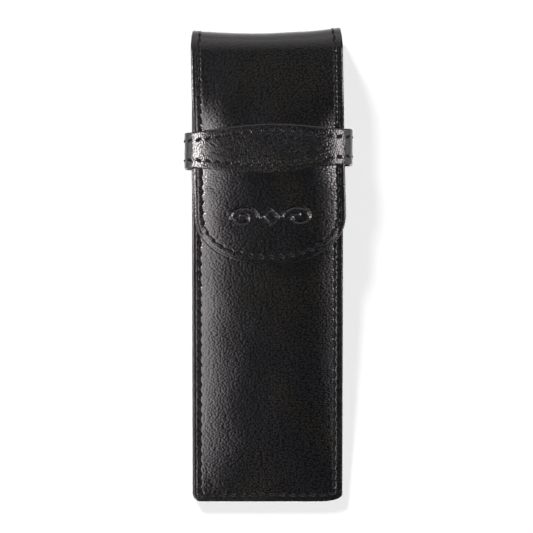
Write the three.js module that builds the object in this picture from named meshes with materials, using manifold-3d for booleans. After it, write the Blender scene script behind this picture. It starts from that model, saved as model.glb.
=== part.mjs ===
// A leather pen case with a tuck-in flap and a keeper strap, lying on its back.
// X runs across the case, +Y towards the fold at its top, +Z out of its front.
// Units are millimetres. The origin is under the middle of the case, on the plane it lies on.
import * as THREE from "three";
import Module from "manifold-3d";
import { mergeVertices } from "three/addons/utils/BufferGeometryUtils.js";

// Driving dimensions
const caseWidth = 50.6;
const caseLength = 159;
const caseHeight = 17.8; // to the outside of the flap, where it folds
const leather = 1.1;
const lining = 0.5;
const board = 0.8;
const layerGap = 0.05; // between layers that are glued or sewn together

const stitchInset = 2.7; // from an edge to its line of stitches
const threadWidth = 0.6;
const threadHeight = 0.25;
const skive = 0.5; // the back leather is thinned by this much under the side seam

const mouthY = 60; // the pocket's top edge, at the sides
const mouthScoop = 4; // how far that edge dips in the middle
const seamRise = 10.3; // the front's side seams stand this much higher at the mouth than at the bottom
const risePower = 1.5;
const bulgeHeight = 1.1; // of the front over its side seams
const bulgeLengthPower = 8;
const bulgeWidthPower = 3.5;
const gusset = { thickness: 0.6, wallX: 21.2, corner: 1.2, bottom: -60 };

const backFoldRadius = 6.5;
const frontFoldRadius = 7.5;
const flapTipY = 0;
const tongueLength = 17; // the rounded end of the flap
const tonguePower = 2.2;
const flapClearance = 1.4; // between the flap and the pocket's front
const flapLean = THREE.MathUtils.degToRad(1.2); // the flap is sewn and folded this much off square
const flapPull = { atKeeper: 1.6, atTongue: 1.25 }; // how far the flap's sides hang below its middle
const ornament = { y: 16, width: 0.5, depth: 0.3 };

const strapY = 38.8;
const strapHalfWidth = 28.2;
const strapShift = 0.3; // to the right
const strapLeather = 0.9;
const strapLining = 0.35;
const strapTopZ = 18.95;
const strapSideTopZ = 8; // straight up to here, then round over the top
const strapEndHalfHeight = 5.95;
const strapMiddleHalfHeight = 8.1;
const strapLean = THREE.MathUtils.degToRad(1.4);
const strapSidePower = 5;
const strapTail = { inner: 22.9, thickness: 0.45, notchHalfHeight: 6.4 };

// Sizes worked out from those
const halfWidth = caseWidth / 2;
const leanRise = 0.4; // the lean lifts the fold's right corner, so the rest sits this much lower
const bottomY = -caseLength / 2 - leanRise;
const topY = caseLength / 2 - leanRise;
const seamX = halfWidth - stitchInset;
const bulgeX = seamX - 0.4;
const backLiningZ = leather + layerGap;
const frontLiningZ = backLiningZ + lining + layerGap;
const flangeTopZ = frontLiningZ + lining + layerGap + leather;
const boardLift = board + layerGap;
const flapThickness = leather + layerGap + lining;
const straightEndY = topY - backFoldRadius;
const frontFoldStartY = topY - frontFoldRadius;

const materials = {
  leather: new THREE.MeshStandardMaterial({ color: 0x17161a, roughness: 0.42, metalness: 0 }),
  lining: new THREE.MeshStandardMaterial({ color: 0x201d1c, roughness: 0.8, metalness: 0 }),
  board: new THREE.MeshStandardMaterial({ color: 0x6b5f50, roughness: 0.95, metalness: 0 }),
  thread: new THREE.MeshStandardMaterial({ color: 0x0f0f10, roughness: 0.55, metalness: 0 }),
};

// Groups: one for each body that moves on its own
const penCase = new THREE.Group();
const pocket = new THREE.Group();
const flapTop = new THREE.Group();
const flap = new THREE.Group();
penCase.add(pocket, flapTop, flap);

function addPiece(group, name, geometry, material) {
  const mesh = new THREE.Mesh(geometry, materials[material]);
  mesh.name = name;
  group.add(mesh);
}

const clamp = (value) => Math.min(1, Math.max(0, value));
const smooth = (value) => clamp(value) ** 2 * (3 - 2 * clamp(value));

/** Numbers from first to last in equal steps. */
function evenly(first, last, steps) {
  return Array.from({ length: steps + 1 }, (_, i) => first + ((last - first) * i) / steps);
}

/** A closed sheet: a box grid with its columns and rows at these stations, each point put in place(column, row, side). */
function sheetGeometry(columns, rows, place) {
  const box = new THREE.BoxGeometry(1, 1, 1, columns.length - 1, rows.length - 1, 1);
  // The far side's squares are split along the same diagonal as the near side's, so that stacked sheets nest.
  const far = box.groups[5];
  for (let i = far.start; i < far.start + far.count; i += 6) {
    const [a, , , , c] = box.index.array.slice(i, i + 6);
    box.index.array.set([c, a], i + 2);
  }
  const position = box.getAttribute("position");
  for (let i = 0; i < position.count; i++) {
    const column = columns[Math.round((position.getX(i) + 0.5) * (columns.length - 1))];
    const row = rows[Math.round((position.getY(i) + 0.5) * (rows.length - 1))];
    position.setXYZ(i, ...place(column, row, position.getZ(i) + 0.5));
  }
  box.computeVertexNormals();
  return box;
}

/** The point at a depth below a height field, measured square to its surface. */
function below(height, x, y, depth) {
  const step = 0.01;
  const slopeX = (height(x + step, y) - height(x - step, y)) / (2 * step);
  const slopeY = (height(x, y + step) - height(x, y - step)) / (2 * step);
  const normal = new THREE.Vector3(-slopeX, -slopeY, 1).normalize();
  return [x - normal.x * depth, y - normal.y * depth, height(x, y) - normal.z * depth];
}

/** Turns a point in plan about the middle of the mouth. */
function leaned([x, y, z], angle = flapLean) {
  const up = y - mouthY;
  return [x * Math.cos(angle) - up * Math.sin(angle), mouthY + x * Math.sin(angle) + up * Math.cos(angle), z];
}

// Outlines and surfaces

/** The case's bottom edge: a small round corner on the left, a long low one on the right. */
function bottomEdge(x, inset = 0) {
  const corner = x < 0 ? { across: 2.8, along: 2.8 } : { across: 7.5, along: 2.4 };
  const into = Math.abs(x) - (halfWidth - inset - corner.across);
  const share = Math.min(1, Math.max(0, into / corner.across));
  return bottomY + inset + corner.along * (1 - Math.sqrt(1 - share ** 2));
}

function mouthEdge(x) {
  return mouthY - mouthScoop * Math.cos((Math.min(1, Math.abs(x) / seamX) * Math.PI) / 2) ** 2;
}

/** The pocket's front: its side seams rise towards the mouth, and it bulges a little between them. */
function frontHeight(x, y) {
  const along = clamp((mouthY - y) / (mouthY - bottomY - stitchInset));
  const across = clamp(Math.abs(x) / bulgeX);
  const bulge = bulgeHeight * (1 - along ** bulgeLengthPower) * (1 - across ** bulgeWidthPower);
  return flangeTopZ + seamRise * (1 - along ** risePower) + bulge;
}

/** The flap's outer face: level across the fold, with its sides drawn down under the keeper and at the tongue. */
function flapHeight(x, y) {
  const crown = frontHeight(0, Math.min(y, mouthY)) + flapClearance + flapThickness;
  const toKeeper = smooth((67 - y) / (67 - strapY - 4));
  const toTongue = smooth((strapY - 4 - y) / 12);
  const pull = THREE.MathUtils.lerp(flapPull.atKeeper * toKeeper, flapPull.atTongue, toTongue);
  const across = Math.abs(x) / seamX;
  const side = across < 1 ? across ** 4 : 1 + (across - 1) * 4;
  return Math.min(crown, caseHeight) - pull * side;
}

/** The raised inside of the back, where the board lies under the lining. */
function boardStep(x, y) {
  const fromSide = (20.2 - Math.abs(x)) / 1.6;
  const fromBottom = (y - bottomY - 7) / 3.5;
  return boardLift * Math.min(1, Math.max(0, Math.min(fromSide, fromBottom)));
}

// The strip that runs up the back, over the fold and down the front
const backArc = { y: straightEndY, z: backFoldRadius, radius: backFoldRadius };
const frontArc = { y: frontFoldStartY, z: caseHeight - frontFoldRadius, radius: frontFoldRadius };

/** A point of the fold, by its turn from the back, 0, to the front, 180 degrees, and its depth below the outside. */
function foldPoint(x, turn, depth) {
  const arc = turn <= 90 ? backArc : frontArc;
  const angle = THREE.MathUtils.degToRad(turn);
  const sag = 0.6 * Math.sin(angle) * (1 - (x / halfWidth) ** 2);
  const pinch = 1 - 0.025 * Math.sin(angle) ** 2;
  const reach = arc.radius - depth;
  return [x * pinch, arc.y + reach * Math.sin(angle) - sag, arc.z - reach * Math.cos(angle)];
}

const fullColumns = [];
for (const side of [-1, 1]) {
  for (const x of [halfWidth, 24.9, 24.1, seamX + 0.4, bulgeX, 20.2, 18.6, 16, 12.5, 8.5, 4.3]) {
    fullColumns.push(side * x);
  }
}
fullColumns.push(0);
fullColumns.sort((a, b) => a - b);
const innerColumns = fullColumns.filter((x) => Math.abs(x) < halfWidth);
const hingeGap = { back: 4.6, front: 4.2 }; // half the opening between two segments, in degrees of turn
const turns = {
  back: evenly(0, 45 - hingeGap.back, 4).slice(1),
  top: [...evenly(45 + hingeGap.back, 90, 4), ...evenly(90, 135 - hingeGap.front, 4)],
  front: evenly(135 + hingeGap.front, 180, 4).slice(0, -1),
};

// Pieces of the pocket

/** Layers of the back: straight up to the fold, then a first stretch of it. */
function backLayer(shallow, deep, lift) {
  const length = straightEndY - bottomY;
  const straight = [0, 1.6, 3.5, 5, 7, 10.5, 45, 85, 125, 137, 146.5, length];
  const rows = [...straight.map((up) => ({ up })), ...turns.back.map((turn) => ({ turn }))];
  return sheetGeometry(fullColumns, rows, (x, row, side) => {
    const depth = side ? deep : shallow;
    if (row.turn !== undefined) {
      return leaned(foldPoint(x, row.turn, depth));
    }
    const start = bottomEdge(x);
    const y = start + ((straightEndY - start) * row.up) / length;
    const overSeam = row.up < length && (Math.abs(x) > 21 || row.up < 4);
    const thinned = shallow === 0 && !side && overSeam ? skive : 0;
    const lean = Math.max(0, (row.up - 125) / (length - 125));
    return leaned([x, y, depth + thinned + lift(x, y)], flapLean * lean);
  });
}

function backPanel() {
  return backLayer(0, leather, () => 0);
}

function backLining() {
  const sheet = backLayer(backLiningZ, backLiningZ + lining, boardStep);
  const notch = (side) => {
    const length = halfWidth - strapTail.inner + 2.3;
    const cutter = new THREE.BoxGeometry(length, 2 * strapTail.notchHalfHeight + 1.4, lining + 0.4);
    const leanY = side * halfWidth * Math.tan(strapLean);
    return cutter.translate(side * (strapTail.inner - 0.3 + length / 2), strapY + leanY, backLiningZ + lining / 2);
  };
  return cut(sheet, notch(-1), notch(1));
}

function backBoard() {
  const outline = { left: -18.3, right: 18.3, bottom: -68, top: straightEndY - 2 };
  const shape = new THREE.Shape([
    new THREE.Vector2(outline.left, outline.bottom),
    new THREE.Vector2(outline.right, outline.bottom),
    new THREE.Vector2(outline.right, outline.top),
    new THREE.Vector2(outline.left, outline.top),
  ]);
  return new THREE.ExtrudeGeometry(shape, { depth: board, bevelEnabled: false }).translate(0, 0, backLiningZ);
}

const frontRows = [0, 0.012, 0.02, 0.035, 0.06, 0.09, 0.13, 0.19, 0.27, 0.36, 0.46, 0.57, 0.68, 0.78, 0.87, 0.94, 1];

/** A layer of the pocket's front, from its bottom edge to its mouth. */
function frontLayer(shallow, deep) {
  return sheetGeometry(fullColumns, frontRows, (x, row, side) => {
    const start = bottomEdge(x);
    const y = start + (mouthEdge(x) - start) * row;
    return below(frontHeight, x, y, side ? shallow : deep);
  });
}

/** A side wall of the pocket: a channel, open outwards, with one edge sewn to the front and one to the back. */
function gussetWall(side) {
  const stations = frontRows.map((row) => bottomY + (mouthY - bottomY) * row).filter((y) => y > gusset.bottom);
  const turns = [0, 1, 1.25, 1.5, 1.75, 2, 3, 3.25, 3.5, 3.75, 4, 5];
  return sheetGeometry([gusset.bottom, ...stations], side > 0 ? turns : [...turns].reverse(), (y, turn, inner) => {
    const low = frontLiningZ + gusset.thickness;
    const high = frontHeight(seamX, y) - leather - lining - 2.5 * layerGap - gusset.thickness;
    const corner = Math.min(gusset.corner, (high - low) / 2);
    const offset = inner ? gusset.thickness : 0;
    const upper = turn < 2.5;
    const [centreZ, sign] = upper ? [high - corner, 1] : [low + corner, -1];
    if (turn < 1 || turn > 4) {
      return [side * halfWidth, y, centreZ + sign * (corner + offset)];
    }
    const angle = (Math.PI / 2) * (upper ? turn - 1 : 4 - turn);
    const x = gusset.wallX + corner - (corner + offset) * Math.sin(angle);
    return [side * x, y, centreZ + sign * (corner + offset) * Math.cos(angle)];
  });
}

function penDivider() {
  const floorZ = backLiningZ + boardLift + lining + layerGap;
  const ceiling = (y) => frontHeight(0, y) - leather - lining - 3 * layerGap - 0.3;
  const ends = { bottom: -58, top: 52 };
  const outline = [new THREE.Vector2(ends.top, floorZ), new THREE.Vector2(ends.bottom, floorZ)];
  outline.push(...evenly(ends.bottom, ends.top, 10).map((y) => new THREE.Vector2(y, ceiling(y))));
  const wall = new THREE.ExtrudeGeometry(new THREE.Shape(outline), { depth: 1, bevelEnabled: false });
  wall.rotateY(Math.PI / 2).rotateX(Math.PI / 2).translate(-0.5, 0, 0);
  const foot = new THREE.BoxGeometry(7.5, ends.top - ends.bottom, 0.7);
  foot.translate(3.5, (ends.top + ends.bottom) / 2, floorZ + 0.35);
  return joined(wall, foot);
}

/** The keeper's path across the front, by its turn: -1 in the left seam, 0 on top, 1 in the right seam. */
function strapPoint(turn, depth) {
  const side = Math.sign(turn) || 1;
  const size = Math.abs(turn);
  const corner = 2.2;
  const cornerX = strapHalfWidth - corner;
  const tailFace = backLiningZ + 0.02;
  const path = (t) => {
    if (t < 0.8) {
      const angle = ((t / 0.8) * Math.PI) / 2;
      const [across, up] = [Math.sin(angle), Math.cos(angle)];
      const reach = (across ** strapSidePower + up ** strapSidePower) ** (-1 / strapSidePower);
      return [strapHalfWidth * reach * across, strapSideTopZ + (strapTopZ - strapSideTopZ) * reach * up];
    }
    if (t < 0.93) {
      const angle = ((t - 0.8) / 0.13) * (Math.PI / 2);
      return [cornerX + corner * Math.cos(angle), tailFace + corner - corner * Math.sin(angle)];
    }
    return [cornerX - ((t - 0.93) / 0.07) * (cornerX - strapTail.inner), tailFace];
  };
  const [x, z] = path(size);
  const [x0, z0] = path(Math.max(0, size - 1e-4));
  const [x1, z1] = path(Math.min(1, size + 1e-4));
  const along = new THREE.Vector2(x1 - x0, z1 - z0).normalize();
  return [strapShift * (1 - clamp((size - 0.8) / 0.13)) + side * (x + along.y * depth), z - along.x * depth];
}

function strapHalfHeight(x) {
  const share = Math.max(0, Math.cos((Math.PI / 2) * Math.min(1, Math.abs(x) / 26)));
  return strapEndHalfHeight + (strapMiddleHalfHeight - strapEndHalfHeight) * share ** 1.5;
}

/** A layer of the keeper strap. Its leather thins to a tail that is caught in the side seam. */
function strapLayer(shallow, deep, lastTurn) {
  const half = [0.08, 0.16, 0.24, 0.3, 0.35, 0.4, 0.45, 0.51, 0.58, 0.66, 0.72, 0.8, 0.845, 0.89, 0.93, 1];
  const used = half.filter((turn) => turn <= lastTurn);
  const columns = [...used.map((turn) => -turn).reverse(), 0, ...used];
  return sheetGeometry(columns, evenly(1, -1, 2), (turn, row, side) => {
    const thinning = Math.min(1, Math.max(0, (Math.abs(turn) - 0.8) / 0.13));
    const thickness = THREE.MathUtils.lerp(deep - shallow, strapTail.thickness, thinning);
    const [x, z] = strapPoint(turn, side ? shallow : shallow + thickness);
    return [x, strapY + x * Math.tan(strapLean) - row * strapHalfHeight(x), z];
  });
}

// Threads

/** A strip along a plan path, from one height to another over a height field. */
function stripOver(path, height, width, low, high) {
  const rows = path.map((_, i) => i);
  return sheetGeometry([-width / 2, width / 2], rows, (across, i, side) => {
    const before = path[Math.max(0, i - 1)];
    const after = path[Math.min(path.length - 1, i + 1)];
    const along = new THREE.Vector2(after[0] - before[0], after[1] - before[1]).normalize();
    const x = path[i][0] + along.y * across;
    const y = path[i][1] - along.x * across;
    return below(height, x, y, side ? -high : -low);
  });
}

function threadOver(path, height, lift) {
  return stripOver(path, height, threadWidth, lift, lift + threadHeight);
}

/** The side seam's path: down the left side, along the bottom and up the right side. */
function seamPath(startY) {
  const corner = 1.4;
  const low = bottomY + stitchInset - 0.4;
  const path = evenly(startY, low + corner, 6).map((y) => [-seamX, y]);
  path.push([-seamX + 0.4, low + 0.4]);
  path.push(...evenly(-seamX + corner, seamX - corner, 6).map((x) => [x, low]));
  path.push([seamX - 0.4, low + 0.4]);
  path.push(...evenly(low + corner, startY, 6).map((y) => [seamX, y]));
  return path;
}

/** The flap's path: down the left side, round the tongue and up the right side. */
function flapStitchPath() {
  const tongueY = flapTipY + tongueLength;
  const path = evenly(frontFoldStartY - 0.5, tongueY + 1, 9).map((y) => [-seamX, y]);
  for (const degrees of evenly(180, 360, 24)) {
    const angle = THREE.MathUtils.degToRad(degrees);
    const along = Math.abs(Math.cos(angle)) ** (2 / tonguePower) * Math.sign(Math.cos(angle));
    const down = Math.abs(Math.sin(angle)) ** (2 / tonguePower);
    path.push([seamX * along, tongueY - (tongueLength - stitchInset) * down]);
  }
  path.push(...evenly(tongueY + 1, frontFoldStartY - 0.5, 9).map((y) => [seamX, y]));
  return path;
}

function foldThread(side) {
  const path = turns.top.slice(1, -1);
  const lift = 0.15;
  return sheetGeometry([-threadWidth / 2, threadWidth / 2], path, (across, turn, outer) => {
    const depth = -lift - (outer ? 0 : threadHeight);
    return leaned(foldPoint(side * seamX + across, turn, depth));
  });
}

// The flap

/** Half the flap's width at a distance from its tip. */
function tongueHalfWidth(fromTip, inset = 0) {
  const share = Math.min(1, Math.max(0, 1 - fromTip / (tongueLength - inset)));
  return (halfWidth - inset) * (1 - share ** tonguePower) ** (1 / tonguePower);
}

function foldLayer(shallow, deep) {
  return sheetGeometry(fullColumns, turns.top, (x, turn, side) => {
    return leaned(foldPoint(x, turn, side ? deep : shallow));
  });
}

/** A layer of the flap: the last stretch of the fold, then down the front to the round tongue. */
function flapLayer(shallow, deep) {
  const sides = evenly(frontFoldStartY, flapTipY + tongueLength, 7);
  const round = [14, 11, 8, 5.5, 3.5, 2, 1, 0.4, 0.12].map((y) => flapTipY + y);
  const rows = [...turns.front.map((turn) => ({ turn })), ...[...sides, ...round].map((y) => ({ y }))];
  return sheetGeometry(fullColumns, rows, (x, row, side) => {
    const depth = side ? deep : shallow;
    if (row.turn !== undefined) {
      return leaned(foldPoint(x, row.turn, depth));
    }
    const narrow = tongueHalfWidth(row.y - flapTipY) / halfWidth;
    return leaned(below(flapHeight, x * narrow, row.y, depth));
  });
}

/** Turns a whole geometry by the flap's lean. */
function leanedWhole(geometry) {
  geometry.translate(0, -mouthY, 0).applyMatrix4(new THREE.Matrix4().makeRotationZ(flapLean));
  return geometry.translate(0, mouthY, 0);
}

/** The lines pressed into the flap: a lozenge between two scrolls. */
function ornamentPaths() {
  const paths = [];
  for (const side of [-1, 1]) {
    paths.push([[0, 2.4], [side * 2.6, 0], [0, -2.4]]);
    paths.push(
      evenly(0, 1, 30).map((t) => {
        const angle = 2.6 * Math.PI * t;
        const reach = 1 - 0.8 * t;
        return [side * (9.4 - 5.4 * reach * Math.cos(angle)), 3.6 * reach * Math.sin(angle)];
      }),
    );
  }
  return paths.map((path) => path.map(([x, y]) => [x, ornament.y + y]));
}

function flapLeather() {
  const lines = ornamentPaths().map((path) =>
    leanedWhole(stripOver(path, flapHeight, ornament.width, -ornament.depth, 0.4)),
  );
  return cut(flapLayer(0, leather), ...lines);
}

// Booleans

const wasm = await Module();
wasm.setup();

function solidOf(geometry) {
  const bare = geometry.index ? geometry.toNonIndexed() : geometry.clone();
  bare.deleteAttribute("normal");
  bare.deleteAttribute("uv");
  const merged = mergeVertices(bare, 1e-3);
  return new wasm.Manifold(
    new wasm.Mesh({
      numProp: 3,
      vertProperties: merged.attributes.position.array,
      triVerts: new Uint32Array(merged.index.array),
    }),
  );
}

function geometryOf(solid) {
  const mesh = solid.getMesh();
  const geometry = new THREE.BufferGeometry();
  geometry.setAttribute("position", new THREE.BufferAttribute(mesh.vertProperties, 3));
  geometry.setIndex(new THREE.BufferAttribute(mesh.triVerts, 1));
  geometry.computeVertexNormals();
  return geometry;
}

function joined(...geometries) {
  return geometryOf(geometries.map(solidOf).reduce((whole, next) => whole.add(next)));
}

function cut(geometry, ...cutters) {
  return geometryOf(cutters.map(solidOf).reduce((whole, next) => whole.subtract(next), solidOf(geometry)));
}

// Assembly

const skin = leather;
const underSkin = leather + layerGap;
const inside = underSkin + lining;
const level = (z) => () => z;
const frontLiningFloor = backLiningZ + boardLift + lining;

addPiece(pocket, "back_panel", backPanel(), "leather");
addPiece(pocket, "back_board", backBoard(), "board");
addPiece(pocket, "back_lining", backLining(), "lining");
addPiece(pocket, "front_panel", frontLayer(0, skin), "leather");
addPiece(pocket, "front_lining", frontLayer(underSkin, inside), "lining");
addPiece(pocket, "gusset_left", gussetWall(-1), "leather");
addPiece(pocket, "gusset_right", gussetWall(1), "leather");
addPiece(pocket, "pen_divider", penDivider(), "leather");
addPiece(
  pocket,
  "divider_thread",
  threadOver(evenly(-56, 50, 6).map((y) => [5, y]), level(frontLiningFloor + 0.7 + layerGap), layerGap),
  "thread",
);
addPiece(
  pocket,
  "mouth_thread",
  threadOver(evenly(-21, 21, 14).map((x) => [x, mouthEdge(x) - stitchInset]), frontHeight, 0.1),
  "thread",
);
addPiece(pocket, "seam_thread_front", threadOver(seamPath(mouthY - 1), frontHeight, 0.1), "thread");
addPiece(pocket, "seam_thread_back", threadOver(seamPath(mouthY + 4), level(0), layerGap), "thread");

const underStrap = strapLeather + layerGap;
addPiece(pocket, "keeper_strap", strapLayer(0, strapLeather, 1), "leather");
addPiece(pocket, "keeper_lining", strapLayer(underStrap, underStrap + strapLining, 0.72), "lining");
for (const [name, side] of [["upper", 1], ["lower", -1]]) {
  const columns = evenly(-0.72, 0.72, 26);
  const thread = sheetGeometry(columns, [1, -1], (turn, row, outer) => {
    const [x, z] = strapPoint(turn, outer ? -0.1 - threadHeight : -0.1);
    const middle = strapY + x * Math.tan(strapLean) + side * (strapHalfHeight(x) - stitchInset);
    return [x, middle - (row * threadWidth) / 2, z];
  });
  addPiece(pocket, `keeper_thread_${name}`, thread, "thread");
}

addPiece(flapTop, "flap_top_leather", foldLayer(0, skin), "leather");
addPiece(flapTop, "flap_top_lining", foldLayer(underSkin, inside), "lining");
addPiece(flapTop, "flap_top_thread_left", foldThread(-1), "thread");
addPiece(flapTop, "flap_top_thread_right", foldThread(1), "thread");

addPiece(flap, "flap_leather", flapLeather(), "leather");
addPiece(flap, "flap_lining", flapLayer(underSkin, inside), "lining");
for (const [name, lift] of [["flap_thread", 0.1], ["flap_thread_inner", -inside - 0.1 - threadHeight]]) {
  addPiece(flap, name, leanedWhole(threadOver(flapStitchPath(), flapHeight, lift)), "thread");
}

export default penCase;
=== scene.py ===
"""Looks of the leather pen case, built around its CAD frame.

Every leather panel is a skin with its own rounded rim, crease, stitch groove and grain, laid on the CAD
surfaces. Lengths inside the script are millimetres in the row frame, and each mesh is made in metres.
"""

import math

import bpy
import numpy as np
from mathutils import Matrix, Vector


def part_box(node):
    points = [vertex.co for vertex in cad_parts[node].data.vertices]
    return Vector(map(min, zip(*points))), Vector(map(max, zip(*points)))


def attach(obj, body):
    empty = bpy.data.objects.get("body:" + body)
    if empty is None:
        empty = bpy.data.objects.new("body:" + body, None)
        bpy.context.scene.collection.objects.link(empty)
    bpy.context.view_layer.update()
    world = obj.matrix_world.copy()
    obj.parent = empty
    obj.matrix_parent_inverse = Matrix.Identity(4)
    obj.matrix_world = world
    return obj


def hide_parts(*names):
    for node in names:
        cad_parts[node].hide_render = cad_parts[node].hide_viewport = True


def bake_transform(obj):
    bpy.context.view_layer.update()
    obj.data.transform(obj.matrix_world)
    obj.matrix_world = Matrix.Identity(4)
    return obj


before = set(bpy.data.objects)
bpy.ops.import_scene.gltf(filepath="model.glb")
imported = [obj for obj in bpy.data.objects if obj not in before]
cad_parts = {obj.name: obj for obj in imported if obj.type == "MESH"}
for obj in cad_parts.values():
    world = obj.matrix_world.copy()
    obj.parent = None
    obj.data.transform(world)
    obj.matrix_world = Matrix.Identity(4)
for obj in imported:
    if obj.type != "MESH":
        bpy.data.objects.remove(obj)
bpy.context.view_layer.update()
MM = 0.001


def corner_of(node, high=False):
    return np.array(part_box(node)[1 if high else 0]) / MM


LEATHER = 1.1

# Sizes that come from the frame
HALF_WIDTH = float(corner_of("front_panel", True)[0])
BOTTOM_Y = float(corner_of("front_panel")[1])
FLANGE_TOP = float(corner_of("front_panel")[2]) + LEATHER
FLAP_TOP_Z = float(corner_of("flap_leather", True)[2])
STRAP_HALF = float(corner_of("keeper_strap", True)[0] - corner_of("keeper_strap")[0]) / 2
STRAP_TOP = float(corner_of("keeper_strap", True)[2])

# Sizes of the design
LINING = 0.5
BOARD_STEP = 0.85  # how far the stiffener lifts the lining of the back
LAYER_GAP = 0.05
INSET = 2.7  # from an edge to its stitches
BOTTOM_INSET_SHARE = 0.85  # the bottom row of stitches lies closer to its edge
CREASE = 1.25  # from an edge to the line creased beside it
SEAM_X = HALF_WIDTH - INSET
BULGE_X = SEAM_X - 0.4
MOUTH_Y = 60.0
MOUTH_SCOOP = 4.0
SEAM_RISE = 10.3
BULGE = 1.1
FLAP_LIFT = 3.05
PULL_AT_KEEPER = 1.6  # how far the flap's sides are drawn down under the keeper
PULL_AT_TONGUE = 1.25  # and beside the tongue
BACK_RADIUS, BACK_Y = 6.5, 72.6
FRONT_RADIUS, FRONT_Y = 7.5, 71.6
TONGUE = 17.0
TONGUE_POWER = 2.2
FOLD_SAG = 1.35  # how far the middle of the fold is sunk
LEAN = math.radians(1.2)  # the flap is folded this much off square
LEAN_START = 125  # the back leans with it from this far above its bottom edge
ORNAMENT_Y = 16.0
STRAP_Y = 38.8
STRAP_LEAN = math.radians(1.4)
STRAP_SHIFT = 0.3
STRAP_SIDE_Z = 8  # its sides are upright up to here
STRAP_POWER = 5  # how square it is over the shoulders
STRAP_LEATHER = 0.9
STRAP_LINING = 0.35
TAIL_THICKNESS = 0.45  # the keeper's ends are thinned where they are sewn in
TAIL_X = 22.9  # where those ends stop
PITCH = 3.37  # of the stitches
SLIT_DEPTH = 0.85
STRAP_SLIT_DEPTH = 0.7
ROW_STEP = PITCH / 4  # between points along the sides of a panel
CORNER_RUN = 7  # the straight side stops this far above the bottom edge
CORNER_STEPS = 20
FRONT_SIDE_TOP = MOUTH_Y - 6
MOUTH_END = 19.5  # where the mouth's corners begin
HALF_CORNER = 7  # points in half of such a corner
INMOST = 4.3  # distance of the innermost ring from a panel's edge
INNER_MARK = 6.0  # stands for "far from any edge" in the materials

# The leather strip, measured along its middle layer from the front of the fold
FRONT_ARC = math.pi / 2 * (FRONT_RADIUS - LEATHER * 0.75)
BACK_ARC = math.pi / 2 * (BACK_RADIUS - LEATHER * 0.75)
FRONT_ARC_Z = FLAP_TOP_Z - FRONT_RADIUS
UPRIGHT = FRONT_ARC_Z - BACK_RADIUS
CUT = FRONT_ARC + UPRIGHT / 2
BACK_START = FRONT_ARC + UPRIGHT + BACK_ARC


# Surfaces: each turns flat coordinates into points of an outer face

def smooth(value):
    value = np.clip(value, 0, 1)
    return value * value * (3 - 2 * value)


def leaned(x, y, angle=LEAN):
    up = y - MOUTH_Y
    return x * np.cos(angle) - up * np.sin(angle), MOUTH_Y + x * np.sin(angle) + up * np.cos(angle)


def front_height(x, y):
    """The front rises towards the mouth, and bulges between its seams."""
    along = np.clip((MOUTH_Y - y) / (MOUTH_Y - BOTTOM_Y - INSET), 0, 1)
    across = np.clip(np.abs(x) / BULGE_X, 0, 1)
    bulge = BULGE * (1 - along**8) * (1 - across**3.4)
    return FLANGE_TOP + SEAM_RISE * (1 - along**1.5) + bulge


def flap_height(x, y):
    """The flap follows the front's middle, level where it folds, with its sides drawn down."""
    crown = front_height(0 * x, np.minimum(y, MOUTH_Y)) + FLAP_LIFT
    to_keeper = smooth((67 - y) / (67 - STRAP_Y - 4)) ** 3
    to_tongue = smooth((STRAP_Y - 4 - y) / 12)
    pull = PULL_AT_KEEPER * to_keeper * (1 - to_tongue) + PULL_AT_TONGUE * to_tongue
    across = np.abs(x) / SEAM_X
    side = np.where(across < 1, across**4, across)
    return np.minimum(crown, FLAP_TOP_Z) - pull * side


def front_surface(flat):
    x, y = flat[..., 0], flat[..., 1]
    return np.stack([x, y, front_height(x, y)], -1)


def strip_surface(flat):
    """The strip that runs down the flap (w below 0), over the fold and down the back."""
    x, w = flat[..., 0], flat[..., 1]
    on_flap = w <= 0
    on_back = w >= BACK_START
    front_turn = np.pi - np.clip(w / FRONT_ARC, 0, 1) * np.pi / 2
    back_turn = np.clip((BACK_START - w) / BACK_ARC, 0, 1) * np.pi / 2
    in_front = w < FRONT_ARC
    turn = np.where(in_front, front_turn, back_turn)
    sag = FOLD_SAG * np.sin(turn) * (1 - (x / HALF_WIDTH) ** 2)
    pinch = 1 - 0.025 * np.sin(turn) ** 2
    radius = np.where(in_front, FRONT_RADIUS, BACK_RADIUS)
    arc_y = np.where(w < CUT, FRONT_Y, BACK_Y)
    radius_y = np.where(w < CUT, FRONT_RADIUS, BACK_RADIUS)
    arc_z = np.where(in_front, FRONT_ARC_Z, BACK_RADIUS)
    rise = np.clip(FRONT_ARC + UPRIGHT - w, 0, UPRIGHT) * (w >= FRONT_ARC)
    fold_y = arc_y + radius_y * np.sin(turn) - sag
    fold_z = arc_z - radius * np.cos(turn) + rise
    flap_y = FRONT_Y + w
    back_y = BACK_Y - (w - BACK_START)
    y = np.where(on_flap, flap_y, np.where(on_back, back_y, fold_y))
    z = np.where(on_flap, flap_height(x, flap_y), np.where(on_back, 0, fold_z))
    across = np.where(on_flap | on_back, x, x * pinch)
    lean = np.where(on_back, np.clip((back_y - BOTTOM_Y - LEAN_START) / 27.5, 0, 1), 1)
    px, py = leaned(across, y, LEAN * lean)
    return np.stack([px, py, z], -1)


def turned_in(turn):
    """How far the keeper has turned in under the front, from 0 at its upright sides to 1 at its tails."""
    return np.clip((turn - 0.8) / 0.13, 0, 1)


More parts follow.
